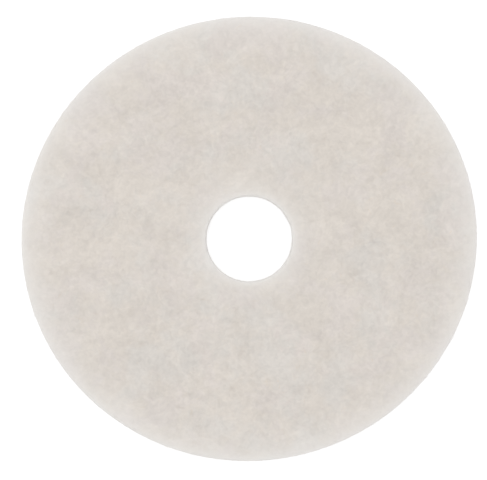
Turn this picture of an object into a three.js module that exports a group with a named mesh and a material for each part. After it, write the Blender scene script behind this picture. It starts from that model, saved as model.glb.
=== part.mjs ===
// Floor polishing pad: a thick, springy disc of bonded non-woven fibre with a hole
// in its middle, worn under a rotary floor machine. It is die-cut from one web, so
// it is one piece. Millimetres, +Z up. The pad lies on its floor face. The origin is
// on the floor, on the axis of the hole, and +X runs along the pad's longer diameter.

import * as THREE from "three";

// Outline. The web is pulled tight lengthwise while it is cut, so a pad that is
// nominally 432 mm across relaxes a little oval, and so does its hole.
const PAD_LENGTH = 437.4;
const PAD_WIDTH = 426.3;
const HOLE_LENGTH = 82.0;
const HOLE_WIDTH = 81.2;
const THICKNESS = 25.4;

// Shoulders, where the faces roll over into the cut walls. The width is how far the
// roll-over reaches in from the cut. Squareness is the exponent of its outline: 2 is
// an elliptic round, and a large number is a sharp corner.
const RIM_SHOULDER_WIDTH = 10;
const HOLE_SHOULDER_WIDTH = 6;
const SHOULDER_SQUARENESS = 5;

// Loft. Rollers level the web at its full thickness, and it stays hollow where the
// fibre is thin. Spacing is the least distance between two hollows, and land is the
// share of the waves' height that the rollers press flat.
const HOLLOW_DEPTH = 0.9;
const HOLLOW_SPACING = 52;
const HOLLOW_LAND = 0.12;
const HOLLOW_WAVES = 5;
const GOLDEN_ANGLE = Math.PI * (3 - Math.sqrt(5));

// Fineness of the facets: steps round the pad, rings across each flat face, and
// steps from a face round its shoulder to half the wall's height.
const STEPS_ROUND = 112;
const FACE_RINGS = 9;
const SHOULDER_STEPS = 8;

const RIM_RADIUS = (PAD_LENGTH + PAD_WIDTH) / 4;
const HOLE_RADIUS = (HOLE_LENGTH + HOLE_WIDTH) / 4;
const MIDDLE = THICKNESS / 2;

// The section of one cut edge, from the floor face round the wall to the driver
// face: half a superellipse, as high as the pad is thick. Outward is 1 at the rim
// and -1 at the hole.
function cutEdge(wallRadius, shoulderWidth, outward) {
  const power = 2 / SHOULDER_SQUARENESS;
  const points = [];
  for (let step = -SHOULDER_STEPS; step <= SHOULDER_STEPS; step += 1) {
    const turn = (Math.abs(step) / SHOULDER_STEPS) * (Math.PI / 2);
    const reach = Math.max(0, Math.cos(turn)) ** power;
    const rise = Math.sin(turn) ** power;
    const radius = wallRadius - outward * shoulderWidth * (1 - reach);
    points.push(new THREE.Vector2(radius, MIDDLE * (1 + Math.sign(step) * rise)));
  }
  return points;
}

// The points across a flat face, between the ends of its two shoulders.
function faceRings(from, to) {
  const points = [];
  for (let ring = 1; ring < FACE_RINGS; ring += 1) {
    points.push(new THREE.Vector2().lerpVectors(from, to, ring / FACE_RINGS));
  }
  return points;
}

// The closed section of a round pad: up the rim, back along the driver face, down
// the hole and out along the floor face.
function padSection() {
  const rim = cutEdge(RIM_RADIUS, RIM_SHOULDER_WIDTH, 1);
  const hole = cutEdge(HOLE_RADIUS, HOLE_SHOULDER_WIDTH, -1).reverse();
  const driverRings = faceRings(rim.at(-1), hole.at(0));
  const floorRings = faceRings(hole.at(-1), rim.at(0));
  return [...rim, ...driverRings, ...hole, ...floorRings, rim[0].clone()];
}

function ovalRadius(length, width, angle) {
  const alongX = Math.cos(angle) / (length / 2);
  const alongY = Math.sin(angle) / (width / 2);
  return 1 / Math.hypot(alongX, alongY);
}

// Where a radius of the round pad lies once the web has relaxed. The rim and the
// hole each take their oval, and what is between them follows in proportion.
function relaxedRadius(radius, angle) {
  const rimMove = ovalRadius(PAD_LENGTH, PAD_WIDTH, angle) - RIM_RADIUS;
  const holeMove = ovalRadius(HOLE_LENGTH, HOLE_WIDTH, angle) - HOLE_RADIUS;
  const fromHole = (radius - HOLE_RADIUS) / (RIM_RADIUS - HOLE_RADIUS);
  return radius + THREE.MathUtils.lerp(holeMove, rimMove, fromHole);
}

// How far a face lies under its level, from 0 on the flat lands to HOLLOW_DEPTH.
// Waves cross a golden angle apart, so that they never repeat, and the two faces
// take different ones.
function hollowDepth(x, y, firstWave) {
  let sum = 0;
  for (let wave = 0; wave < HOLLOW_WAVES; wave += 1) {
    const direction = GOLDEN_ANGLE * (firstWave + wave);
    const spacing = HOLLOW_SPACING * (1 + wave / HOLLOW_WAVES);
    const along = x * Math.cos(direction) + y * Math.sin(direction);
    sum += Math.sin((2 * Math.PI * along) / spacing + wave * wave);
  }
  const height = sum / HOLLOW_WAVES;
  return (HOLLOW_DEPTH * Math.max(0, height - HOLLOW_LAND)) / (1 - HOLLOW_LAND);
}

// The pad's skin: the section turned once round, relaxed to its oval, and drawn in
// towards mid-thickness at the hollows.
function padGeometry() {
  const geometry = new THREE.LatheGeometry(padSection(), STEPS_ROUND);
  geometry.rotateX(Math.PI / 2);
  const places = geometry.getAttribute("position");
  for (let i = 0; i < places.count; i += 1) {
    const angle = Math.atan2(places.getY(i), places.getX(i));
    const radius = relaxedRadius(Math.hypot(places.getX(i), places.getY(i)), angle);
    const x = radius * Math.cos(angle);
    const y = radius * Math.sin(angle);
    const fromMiddle = places.getZ(i) - MIDDLE;
    const firstWave = fromMiddle < 0 ? 0 : HOLLOW_WAVES;
    const drawnIn = 1 - hollowDepth(x, y, firstWave) / MIDDLE;
    places.setXYZ(i, x, y, MIDDLE + fromMiddle * drawnIn);
  }
  geometry.computeVertexNormals();
  return geometry;
}

const bondedFibre = new THREE.MeshStandardMaterial({
  color: 0xd9d3cc,
  roughness: 0.95,
  metalness: 0,
});

const pad = new THREE.Mesh(padGeometry(), bondedFibre);
pad.name = "polishing_pad";

const floorPolishingPad = new THREE.Group();
floorPolishingPad.add(pad);

export default floorPolishingPad;
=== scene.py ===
"""The looks of a floor polishing pad: the web, its fibres, their material, and a pale
studio seen from straight above. Metres, in the frame's own axes."""

import math

import bpy
import numpy as np
from mathutils import Matrix, Vector, noise
from mathutils.bvhtree import BVHTree


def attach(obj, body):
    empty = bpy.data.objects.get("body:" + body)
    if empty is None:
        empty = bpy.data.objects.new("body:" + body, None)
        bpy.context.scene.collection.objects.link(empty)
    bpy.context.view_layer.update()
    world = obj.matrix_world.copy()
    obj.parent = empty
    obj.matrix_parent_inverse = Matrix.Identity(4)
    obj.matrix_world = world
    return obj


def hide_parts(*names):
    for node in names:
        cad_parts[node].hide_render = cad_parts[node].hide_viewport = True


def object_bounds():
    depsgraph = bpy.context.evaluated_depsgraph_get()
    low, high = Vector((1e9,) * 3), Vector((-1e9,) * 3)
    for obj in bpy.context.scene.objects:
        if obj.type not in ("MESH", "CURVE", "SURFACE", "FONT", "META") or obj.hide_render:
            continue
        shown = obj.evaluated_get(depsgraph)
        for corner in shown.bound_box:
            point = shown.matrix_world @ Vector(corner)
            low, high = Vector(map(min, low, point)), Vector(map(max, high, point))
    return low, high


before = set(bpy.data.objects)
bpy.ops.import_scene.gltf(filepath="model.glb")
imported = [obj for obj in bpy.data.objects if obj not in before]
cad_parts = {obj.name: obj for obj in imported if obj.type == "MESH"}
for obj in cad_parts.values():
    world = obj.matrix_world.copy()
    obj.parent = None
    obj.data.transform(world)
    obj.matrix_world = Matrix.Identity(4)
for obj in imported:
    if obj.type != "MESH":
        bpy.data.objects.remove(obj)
CAD_LOW, CAD_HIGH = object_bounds()

MM = 0.001
NODE = "polishing_pad"

# The pad's outline, from the frame. The frame's box doesn't tell the hole's size, so
# that is given here again.
HALF_LENGTH = (CAD_HIGH.x - CAD_LOW.x) / 2
HALF_WIDTH = (CAD_HIGH.y - CAD_LOW.y) / 2
THICKNESS = CAD_HIGH.z - CAD_LOW.z
HOLE_HALF_LENGTH = 41.0 * MM
HOLE_HALF_WIDTH = 40.6 * MM
RIM_RADIUS = (HALF_LENGTH + HALF_WIDTH) / 2
HOLE_RADIUS = (HOLE_HALF_LENGTH + HOLE_HALF_WIDTH) / 2

# The two cuts: half their length and width, and 1 where the web lies inside the cut,
# or -1 where it lies outside.
RIM = (HALF_LENGTH, HALF_WIDTH, 1)
HOLE = (HOLE_HALF_LENGTH, HOLE_HALF_WIDTH, -1)

# The photograph: where it shows the pad, and how long the longer diameter is there.
PHOTO_WIDTH = 487
PHOTO_HEIGHT = 480
PAD_CENTRE_PX = (248.7, 238.4)
LONG_DIAMETER_PX = 455.0
PAD_TURN = math.radians(9.2)
CAMERA_HEIGHT = 2.0
SENSOR_WIDTH_MM = 36

# Relief of the web's surface: the size of its lumps and how deep they go.
CELL = 1.95 * MM
LUMP_SIZE = 9 * MM
LUMP_DEPTH = 0.36 * MM
GRAIN_SIZE = 3.6 * MM
GRAIN_DEPTH = 0.2 * MM

# The web is laid in layers, so whatever varies in it varies faster through its
# thickness than along it. The streaks on its walls do so the most.
LAYERING = 4.0
STREAK_LAYERING = 9

# Fibres: how many, and the shape of one. Its thickness follows the middle part of half
# a wave, added to a core.
SEED = 17
FIBRES_A_PIECE = 5100
FIBRE_SIDES = 3
FIBRE_STEPS = 6
FIBRE_RADIUS = (0.07 * MM, 0.13 * MM)
FIBRE_CORE = 0.45
FIBRE_TAPER = (0.08, 0.92)
FIBRE_CRIMP = 0.55
CRIMP_LENGTH = 3 * MM
FIBRE_CURL = 130.0
FACE_FIBRE_LENGTH = (6 * MM, 16 * MM)
WALL_FIBRE_LENGTH = (6 * MM, 15 * MM)

# How fibres lie: their lift in mid-path, how deep their ends are sunk, the few that
# stand out, how level they lie on the walls, and their distance from the web's edges.
FACE_FIBRE_LIFT = 0.09 * MM
WALL_FIBRE_LIFT = 0.14 * MM
FIBRE_SUNK = 0.04 * MM
STRAY_SHARE = 0.03
STRAY_RISE = 1.6 * MM
WALL_FIBRE_SLANT = 0.35
EDGE_KEEP = 1.2 * MM

# Colours of the web, and the white of the light painted at its cuts, where light comes through
# them.
PINK_BEIGE = (0.707, 0.655, 0.600, 1)
COOL_GREY = (0.696, 0.6585, 0.6165, 1)
ROSE_GREY = (0.707, 0.655, 0.613, 1)
STRAW = (0.69, 0.60, 0.50, 1)
PAINTED_LIGHT_WHITE = (0.93, 0.925, 0.913, 1)

# Every noise here has a size, a detail, a roughness and a distortion, and nearly all
# of it lies in this range.
NOISE_RANGE = (0.3, 0.7)

# The tints laid over the pink beige in turn: the colour, the noise of its patches,
# between which two values of the noise it comes in, and how much of it at most.
TINTS = (
    (COOL_GREY, (60 * MM, 4, 0.68, 0.0), (0.47, 0.60), 1.0),
    (ROSE_GREY, (45 * MM, 4, 0.72, 0.3), (0.49, 0.60), 1.0),
    (STRAW, (9 * MM, 2, 0.7, 1.0), (0.66, 0.80), 0.5),
)

# Light and dark: wide clouds where the web is thick or thin, fine speckle that is partly
# random tone and partly painted shade between the fibres, and streaks on the walls. Where
# the light painted at the cuts is as strong as FADED_AT, only FADED_SHARE of the first two
# is left. Each fibre has a shade of its own too.
CLOUD_NOISE = (34 * MM, 4, 0.86, 0.5)
CLOUD_CONTRAST = 0.07
SPECKLE_NOISE = (4.4 * MM, 0, 0.5, 0.8)
SPECKLE_CONTRAST = 0.029
STREAK_NOISE = (14 * MM, 3, 0.75, 0.6)
STREAK_CONTRAST = 0.14
FADED_AT = 0.36
FADED_SHARE = 0.32
FIBRE_SHADES = (0.995, 1.02)

# Wisps: the finest relief, which is only shaded and not in the shape.
WISP_NOISE = (2.6 * MM, 3, 0.7, 2.5)
WISP_DEPTH = 0.3 * MM
WISP_STRENGTH = 0.3

# The light painted at the cuts, for light that comes through the web from the side; close to
# the rim's edge it is also a painted highlight, and in the hole it lightens the shade on the
# wall. At which cut, how far it reaches, how strong it is, and the share of it that is left
# down the wall.
PAINTED_CUT_LIGHTS = (
    (RIM, 13 * MM, 0.53, 0.2),
    (RIM, 1.2 * MM, 0.46, 0.2),
    (HOLE, 15 * MM, 0.34, 0.7),
    (HOLE, 2.0 * MM, 0.54, 0.7),
)
# What counts as wall: all of it up to the first distance from mid-thickness, and
# nothing past the second.
WALL_ZONE = (4 * MM, 10 * MM)

# Light: a soft box, with the way to it in the photograph, to the right, up and towards
# the camera, and the level that it lends to a flat white sheet. Round it is a white
# surround.
KEY_RIGHT = -0.25
KEY_UP = 0.2
KEY_NEAR = 1.3
KEY_DISTANCE = 1.9
KEY_SIZE = 1.0
KEY_LEVEL = 0.135
ZENITH_LEVEL = 0.79
HORIZON_LEVEL = 1.02

# The floor: plain where light falls from it on the pad. What the camera sees of it is
# a white of its own and a shaded part.
FLOOR_SIZE = 8.0
FLOOR_GAP = 0.2 * MM
FLOOR_PLAIN = 0.92
FLOOR_WHITE = 0.68
FLOOR_SHADED = 0.48


def image_axes():
    """The directions that are right and up in the photograph, in the pad's frame."""
    right = Vector((math.cos(PAD_TURN), -math.sin(PAD_TURN), 0))
    up = Vector((math.sin(PAD_TURN), math.cos(PAD_TURN), 0))
    return right, up


def link(name, data):
    piece = bpy.data.objects.new(name, data)
    bpy.context.scene.collection.objects.link(piece)
    return piece


def make_camera():
    """Looks straight down, so that the pad has the photograph's place, size and turn."""
    right, up = image_axes()
    metres_a_pixel = 2 * HALF_LENGTH / LONG_DIAMETER_PX
    aside = (PAD_CENTRE_PX[0] - (PHOTO_WIDTH - 1) / 2) * metres_a_pixel
    above = ((PHOTO_HEIGHT - 1) / 2 - PAD_CENTRE_PX[1]) * metres_a_pixel
    data = bpy.data.cameras.new("camera")
    data.sensor_width = SENSOR_WIDTH_MM
    data.lens = SENSOR_WIDTH_MM * CAMERA_HEIGHT / (PHOTO_WIDTH * metres_a_pixel)
    camera = link("camera", data)
    place = Vector((0, 0, THICKNESS / 2 + CAMERA_HEIGHT)) - right * aside - up * above
    turn = Matrix((right, up, Vector((0, 0, 1)))).transposed()
    camera.matrix_world = Matrix.Translation(place) @ turn.to_4x4()
    bpy.context.scene.camera = camera


def add(tree, kind, inputs=None, **settings):
    """Adds a shader node. Inputs gives its sockets a value, or a socket to join to."""
    made = tree.nodes.new(kind)
    for name, value in settings.items():
        setattr(made, name, value)
    for name, value in (inputs or {}).items():
        if isinstance(value, bpy.types.NodeSocket):
            tree.links.new(value, made.inputs[name])
        else:
            made.inputs[name].default_value = value
    return made


def calculate(tree, operation, *values):
    """One step of arithmetic."""
    return add(tree, "ShaderNodeMath", dict(enumerate(values)), operation=operation).outputs[0]


def stretched(tree, place, factors):
    """Places stretched along each axis by its own factor."""
    inputs = {0: place, 1: factors}
    return add(tree, "ShaderNodeVectorMath", inputs, operation="MULTIPLY").outputs[0]


def mix_colour(tree, share, first, second):
    """The first colour with a share of the second in its place."""
    inputs = {0: share, 6: first, 7: second}
    return add(tree, "ShaderNodeMix", inputs, data_type="RGBA").outputs[2]


def map_range(tree, value, from_low, from_high, to_low, to_high, clamp=False):
    inputs = {
        "Value": value,
        "From Min": from_low,
        "From Max": from_high,
        "To Min": to_low,
        "To Max": to_high,
    }
    return add(tree, "ShaderNodeMapRange", inputs, clamp=clamp).outputs["Result"]


def noise_at(tree, place, size, detail, roughness, distortion):
    """Noise whose lumps are about size metres across."""
    inputs = {
        "Vector": place,
        "Scale": 1 / size,
        "Detail": detail,
        "Roughness": roughness,
        "Distortion": distortion,
    }
    return add(tree, "ShaderNodeTexNoise", inputs).outputs["Fac"]


def swing(tree, place, texture, contrast):
    """A noise turned into a change about 0, nearly always within the contrast."""
    amount = noise_at(tree, place, *texture)
    return map_range(tree, amount, *NOISE_RANGE, -contrast, contrast)


def new_material(name):
    material = bpy.data.materials.new(name)
    material.use_nodes = True
    material.node_tree.nodes.clear()
    return material, material.node_tree


def painted_light_at_cut(tree, place, cut, reach, strength):
    """The painted light's strength at one cut, and less with the distance from it."""
    half_length, half_width, outward = cut
    flat = stretched(tree, place, (1 / half_length, 1 / half_width, 0))
    share = add(tree, "ShaderNodeVectorMath", {0: flat}, operation="LENGTH").outputs["Value"]
    rate = outward * (half_length + half_width) / 2 / reach
    exponent = calculate(tree, "MULTIPLY_ADD", share, rate, -rate)
    return calculate(tree, "MULTIPLY", calculate(tree, "EXPONENT", exponent), strength)


def wall_share(tree, place):
    """1 at mid-thickness, which only the cut walls reach, and 0 near the faces."""
    height = add(tree, "ShaderNodeSeparateXYZ", {0: place}).outputs["Z"]
    above = calculate(tree, "SUBTRACT", height, THICKNESS / 2)
    away = calculate(tree, "ABSOLUTE", above)
    return map_range(tree, away, *WALL_ZONE, 1, 0, clamp=True)


def painted_cut_light(tree, place, wall):
    """Light painted on the web towards its cuts, where light comes through it from the side:
    widely a little, strongly at their edges, and less down their walls."""
    total = 0.0
    for cut, reach, strength, left in PAINTED_CUT_LIGHTS:
        glow = painted_light_at_cut(tree, place, cut, reach, strength)
        kept = map_range(tree, wall, 0, 1, 1, left)
        total = calculate(tree, "MULTIPLY_ADD", glow, kept, total)
    return total


def streaks(tree, place, wall):
    """The edges of the web's thin layers, which show only on the walls."""
    thin = stretched(tree, place, (1, 1, STREAK_LAYERING))
    change = swing(tree, thin, STREAK_NOISE, STREAK_CONTRAST)
    return calculate(tree, "MULTIPLY_ADD", change, wall, 1.0)


def web_tone_and_shade(tree, layers, pale):
    """Light and dark about 1: clouds, and speckle that is partly painted shade between fibres,
    which fade where light is painted at the cuts.
    """
    clouds = swing(tree, layers, CLOUD_NOISE, CLOUD_CONTRAST)
    # Speckle: random tone and painted shade between the fibres.
    speckle = swing(tree, layers, SPECKLE_NOISE, SPECKLE_CONTRAST)
    varied = calculate(tree, "ADD", clouds, speckle)
    # pale is the light painted at the cuts; the clouds and speckle fade under it.
    left = map_range(tree, pale, 0, FADED_AT, 1, FADED_SHARE, clamp=True)
    return calculate(tree, "MULTIPLY_ADD", varied, left, 1.0)


def web_colour(tree):
    """The web's colour at each place, with light painted towards its cuts; how light or dark it
    is there, partly painted shade between fibres; and the places themselves, stretched so
    that noise read there lies in thin layers."""
    place = add(tree, "ShaderNodeTexCoord").outputs["Object"]
    layers = stretched(tree, place, (1, 1, LAYERING))
    colour = PINK_BEIGE
    for tint, patches, comes_in, most in TINTS:
        share = noise_at(tree, layers, *patches)
        share = map_range(tree, share, *comes_in, 0, most, clamp=True)
        colour = mix_colour(tree, share, colour, tint)
    wall = wall_share(tree, place)
    # Painted light: pale is how much light is painted towards the cuts, and the colour turns
    # white there.
    pale = painted_cut_light(tree, place, wall)
    colour = mix_colour(tree, pale, colour, PAINTED_LIGHT_WHITE)
    tone_and_shade = web_tone_and_shade(tree, layers, pale)
    tone_and_shade = calculate(tree, "MULTIPLY", tone_and_shade, streaks(tree, place, wall))
    return colour, tone_and_shade, layers


def shade(tree, colour, amount):
    inputs = {0: colour, "Scale": amount}
    return add(tree, "ShaderNodeVectorMath", inputs, operation="SCALE").outputs[0]


def fibre_shader(tree, colour, normal=None):
    """Matte polyester and resin: hardly any gloss, and a little fuzz at a low angle."""
    inputs = {
        "Base Color": colour,
        "Roughness": 0.92,
        "Specular IOR Level": 0.2,
        "Sheen Weight": 0.12,
        "Sheen Roughness": 0.6,
    }
    if normal is not None:
        inputs["Normal"] = normal
    shader = add(tree, "ShaderNodeBsdfPrincipled", inputs)
    add(tree, "ShaderNodeOutputMaterial", {"Surface": shader.outputs[0]})


def web_material():
    """The mass of bonded fibres under the loose ones on top."""
    material, tree = new_material("bonded_web")
    colour, tone_and_shade, layers = web_colour(tree)
    wisps = noise_at(tree, layers, *WISP_NOISE)
    inputs = {"Height": wisps, "Strength": WISP_STRENGTH, "Distance": WISP_DEPTH}
    bump = add(tree, "ShaderNodeBump", inputs).outputs[0]
    fibre_shader(tree, shade(tree, colour, tone_and_shade), bump)
    return material


def fibre_material():
    """Single fibres: the web's colour where they lie, painted light and shade included, each a
    little lighter or darker.
    """
    material, tree = new_material("loose_fibre")
    colour, tone_and_shade, _ = web_colour(tree)
    island = add(tree, "ShaderNodeNewGeometry").outputs["Random Per Island"]
    own = map_range(tree, island, 0, 1, *FIBRE_SHADES)
    fibre_shader(tree, shade(tree, colour, calculate(tree, "MULTIPLY", tone_and_shade, own)))
    return material


def dress(piece, material):
    """What every piece of the pad needs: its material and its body."""
    piece.data.materials.clear()
    piece.data.materials.append(material)
    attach(piece, "root")


def read_vectors(items, name):
    values = np.empty(len(items) * 3, np.float32)
    items.foreach_get(name, values)
    return values.reshape(-1, 3).astype(float)


def lumps(place, size):
    """Noise from 0 to 1 at each place, with lumps about size metres across."""
    return np.array([0.5 + 0.5 * noise.noise(Vector(p)) for p in place / size])[:, None]


def make_web(material):
    """The web: the frame's solid in small even cells, with lumps and grain sunk into
    it along its layers. It keeps the solid's outline."""
    web = link("web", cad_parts[NODE].data.copy())
    remesh = web.modifiers.new("cells", "REMESH")
    remesh.mode = "VOXEL"
    remesh.voxel_size = CELL
    remesh.use_smooth_shade = True
    shape = web.evaluated_get(bpy.context.evaluated_depsgraph_get())
    web.data = bpy.data.meshes.new_from_object(shape)
    web.data.name = "web"
    web.modifiers.clear()
    corners = web.data.vertices
    place = read_vectors(corners, "co")
    normal = read_vectors(web.data.vertex_normals, "vector")
    layered = place * (1, 1, LAYERING)
    sunk = LUMP_DEPTH * lumps(layered, LUMP_SIZE) + GRAIN_DEPTH * lumps(layered, GRAIN_SIZE)
    corners.foreach_set("co", (place - normal * sunk).astype(np.float32).ravel())
    web.data.update()
    dress(web, material)
    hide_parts(NODE)
    return web


def wander(rng, count, lengths, heading):
    """Fibres as paths on flat ground, about 0: a curved line with a crimp of its own.
    Two arrays, x and y, with a row for each fibre and a column for each place."""
    length = rng.uniform(*lengths, (count, 1))
    along = np.linspace(-0.5, 0.5, FIBRE_STEPS + 1)[None, :] * length
    curl = rng.normal(0, FIBRE_CURL, (count, 1))
    crimp = FIBRE_CRIMP * np.sin(along / CRIMP_LENGTH + rng.uniform(0, math.tau, (count, 1)))
    turn = heading[:, None] + curl * along + crimp
    step = length / FIBRE_STEPS
    x = np.cumsum(np.cos(turn) * step, axis=1)
    y = np.cumsum(np.sin(turn) * step, axis=1)
    return x - x.mean(axis=1, keepdims=True), y - y.mean(axis=1, keepdims=True)


def fold_back(value, low, high):
    """Values that pass a limit turn back from it, as a fibre does at a cut."""
    value = np.where(value > high, 2 * high - value, value)
    value = np.where(value < low, 2 * low - value, value)
    return np.clip(value, low, high)


def face_rays(rng, count, side):
    """Fibres strewn over one face, as the rays that meet it from outside. Side is 1 for
    the driver face and -1 for the floor face."""
    heading = rng.uniform(0, math.pi, count)
    x, y = wander(rng, count, FACE_FIBRE_LENGTH, heading)
    hole = HOLE_RADIUS / RIM_RADIUS
    share = np.sqrt(rng.uniform(hole**2, 1, (count, 1)))
    angle = rng.uniform(0, math.tau, (count, 1))
    x = x + share * np.cos(angle) * HALF_LENGTH
    y = y + share * np.sin(angle) * HALF_WIDTH
    spread = np.hypot(x / HALF_LENGTH, y / HALF_WIDTH)
    margin = EDGE_KEEP / RIM_RADIUS
    kept = fold_back(spread, hole + margin, 1 - margin)
    x = x * kept / spread
    y = y * kept / spread
    start = np.stack([x, y, np.full_like(x, THICKNESS / 2 + side * THICKNESS)], axis=-1)
    way = np.zeros_like(start)
    way[..., 2] = -side
    return start, way


def wall_rays(rng, count, cut):
    """Fibres laid round one cut wall, mostly level, as the rays that meet it: the rim
    from outside, and the hole from its axis."""
    half_length, half_width, side = cut
    heading = rng.normal(0, WALL_FIBRE_SLANT, count)
    round_wall, rise = wander(rng, count, WALL_FIBRE_LENGTH, heading)
    radius = (half_length + half_width) / 2
    angle = rng.uniform(0, math.tau, (count, 1)) + round_wall / radius
    height = rng.uniform(0, THICKNESS, (count, 1)) + rise
    height = fold_back(height, EDGE_KEEP, THICKNESS - EDGE_KEEP)
    out = np.stack([np.cos(angle), np.sin(angle), np.zeros_like(angle)], axis=-1)
    reach = 2 * radius if side > 0 else 0
    start = out * reach
    start[..., 2] = height
    return start, -side * out


def settle(rng, rays, tree, most_lift):
    """Lays paths of rays on the web: the places where they meet it and its normals
    there. Most are lifted in mid-path and sunk at the ends, and a few stray ones stand
    out at one end."""
    start, way = rays
    count, steps = start.shape[:2]
    place = np.zeros_like(start)
    normal = np.zeros_like(start)
    met = np.ones(count, bool)
    for i in range(count):
        for j in range(steps):
            hit, facing, _, _ = tree.ray_cast(Vector(start[i, j]), Vector(way[i, j]))
            if hit is None:
                met[i] = False
                break
            place[i, j] = hit
            normal[i, j] = facing
    place, normal = place[met], normal[met]
    along = np.linspace(0, 1, steps)[None, :, None]
    lift = rng.uniform(0, 1, (len(place), 1, 1)) ** 2 * most_lift
    stray = rng.uniform(0, 1, (len(place), 1, 1)) < STRAY_SHARE
    rise = np.where(stray, STRAY_RISE * along**2, lift * np.sin(math.pi * along))
    return place + normal * (rise - FIBRE_SUNK), normal


def unit(vectors):
    """Vectors brought to length 1. The tiny addend keeps it from dividing by 0."""
    tiny = 1e-12
    return vectors / (np.linalg.norm(vectors, axis=2, keepdims=True) + tiny)


def tubes(name, rng, place, normal):
    """One mesh of thin closed tubes, each along one path, with a flat side up and an
    edge down in the web."""
    count, steps = place.shape[:2]
    ahead = unit(np.gradient(place, axis=1))
    aside = unit(np.cross(ahead, normal))
    above = np.cross(aside, ahead)
    wave = np.sin(math.pi * np.linspace(*FIBRE_TAPER, steps))
    taper = FIBRE_CORE + (1 - FIBRE_CORE) * wave
    radius = rng.uniform(*FIBRE_RADIUS, (count, 1, 1)) * taper[None, :, None]
    rings = []
    for side in range(FIBRE_SIDES):
        turn = -math.pi / 2 + side * math.tau / FIBRE_SIDES
        rings.append(place + radius * (math.cos(turn) * aside + math.sin(turn) * above))
    corners = np.stack(rings, axis=2)
    corners[..., 2] = np.clip(corners[..., 2], CAD_LOW.z, None)
    one = []
    for step in range(steps - 1):
        for side in range(FIBRE_SIDES):
            a = step * FIBRE_SIDES + side
            b = step * FIBRE_SIDES + (side + 1) % FIBRE_SIDES
            one.append((a, b, b + FIBRE_SIDES, a + FIBRE_SIDES))
    ring = steps * FIBRE_SIDES
    ends = [tuple(reversed(range(FIBRE_SIDES))), tuple(range(ring - FIBRE_SIDES, ring))]
    faces = []
    for fibre in range(count):
        first = fibre * ring
        faces.extend(tuple(first + corner for corner in face) for face in one + ends)
    mesh = bpy.data.meshes.new(name)
    mesh.from_pydata(corners.reshape(-1, 3).tolist(), [], faces)
    return link(name, mesh)


def make_fibres(web, material):
    """The loose fibres: two layers on the driver face, one on the floor face and one
    on the two cut walls."""
    tree = BVHTree.FromObject(web, bpy.context.evaluated_depsgraph_get())
    rng = np.random.default_rng(SEED)
    on_rim = round(FIBRES_A_PIECE * RIM_RADIUS / (RIM_RADIUS + HOLE_RADIUS))
    rim = wall_rays(rng, on_rim, RIM)
    hole = wall_rays(rng, FIBRES_A_PIECE - on_rim, HOLE)
    walls = [np.concatenate(pair) for pair in zip(rim, hole)]
    layers = {
        "driver_face_fibres": (face_rays(rng, FIBRES_A_PIECE, 1), FACE_FIBRE_LIFT),
        "driver_face_top_fibres": (face_rays(rng, FIBRES_A_PIECE, 1), FACE_FIBRE_LIFT),
        "floor_face_fibres": (face_rays(rng, FIBRES_A_PIECE, -1), FACE_FIBRE_LIFT),
        "cut_wall_fibres": (walls, WALL_FIBRE_LIFT),
    }
    for name, (rays, lift) in layers.items():
        place, normal = settle(rng, rays, tree, lift)
        dress(tubes(name, rng, place, normal), material)


def seen_directly(tree):
    """1 for what the camera sees, also in a mirror or through glass, and 0 for light."""
    path = add(tree, "ShaderNodeLightPath").outputs
    seen = calculate(tree, "MAXIMUM", path["Is Camera Ray"], path["Is Glossy Ray"])
    return calculate(tree, "MAXIMUM", seen, path["Is Transmission Ray"])


def grey(level):
    return (level, level, level, 1)


def make_key_light():
    """A soft box high on the photograph's upper left."""
    right, up = image_axes()
    toward = (up * KEY_UP + right * KEY_RIGHT + Vector((0, 0, KEY_NEAR))).normalized()
    data = bpy.data.lights.new("key", "AREA")
    data.size = KEY_SIZE
    data.energy = KEY_LEVEL * math.pi**2 * KEY_DISTANCE**2 / toward.z
    key = link("key", data)
    key.location = toward * KEY_DISTANCE
    key.rotation_mode = "QUATERNION"
    key.rotation_quaternion = toward.to_track_quat("Z", "Y")


def make_surround():
    """A white surround, a little brighter low down. The camera sees it plain white."""
    world = bpy.data.worlds.new("surround")
    world.use_nodes = True
    tree = world.node_tree
    tree.nodes.clear()
    way = add(tree, "ShaderNodeTexCoord").outputs["Generated"]
    height = add(tree, "ShaderNodeSeparateXYZ", {0: way}).outputs["Z"]
    level = map_range(tree, height, 0, 1, HORIZON_LEVEL, ZENITH_LEVEL, clamp=True)
    strength = add(tree, "ShaderNodeMix", {0: seen_directly(tree), 2: level, 3: 1.0}).outputs[0]
    light = add(tree, "ShaderNodeBackground", {"Color": grey(1), "Strength": strength})
    add(tree, "ShaderNodeOutputWorld", {"Surface": light.outputs[0]})
    bpy.context.scene.world = world


def make_floor():
    """A pale floor that looks white where it is lit and keeps a faint shadow."""
    half = FLOOR_SIZE / 2
    corners = [(-half, -half, 0), (half, -half, 0), (half, half, 0), (-half, half, 0)]
    mesh = bpy.data.meshes.new("floor")
    mesh.from_pydata(corners, [], [(0, 1, 2, 3)])
    floor = link("floor", mesh)
    floor.location.z = CAD_LOW.z - FLOOR_GAP
    material, tree = new_material("floor_white")
    plain = add(tree, "ShaderNodeBsdfDiffuse", {"Color": grey(FLOOR_PLAIN)})
    glow = add(tree, "ShaderNodeEmission", {"Color": grey(1), "Strength": FLOOR_WHITE})
    shaded = add(tree, "ShaderNodeBsdfDiffuse", {"Color": grey(FLOOR_SHADED)})
    shown = add(tree, "ShaderNodeAddShader", {0: glow.outputs[0], 1: shaded.outputs[0]})
    sides = {0: seen_directly(tree), 1: plain.outputs[0], 2: shown.outputs[0]}
    mixed = add(tree, "ShaderNodeMixShader", sides)
    add(tree, "ShaderNodeOutputMaterial", {"Surface": mixed.outputs[0]})
    mesh.materials.append(material)


make_camera()
make_key_light()
make_surround()
make_floor()
make_fibres(make_web(web_material()), fibre_material())
bpy.context.scene.view_settings.view_transform = "Standard"
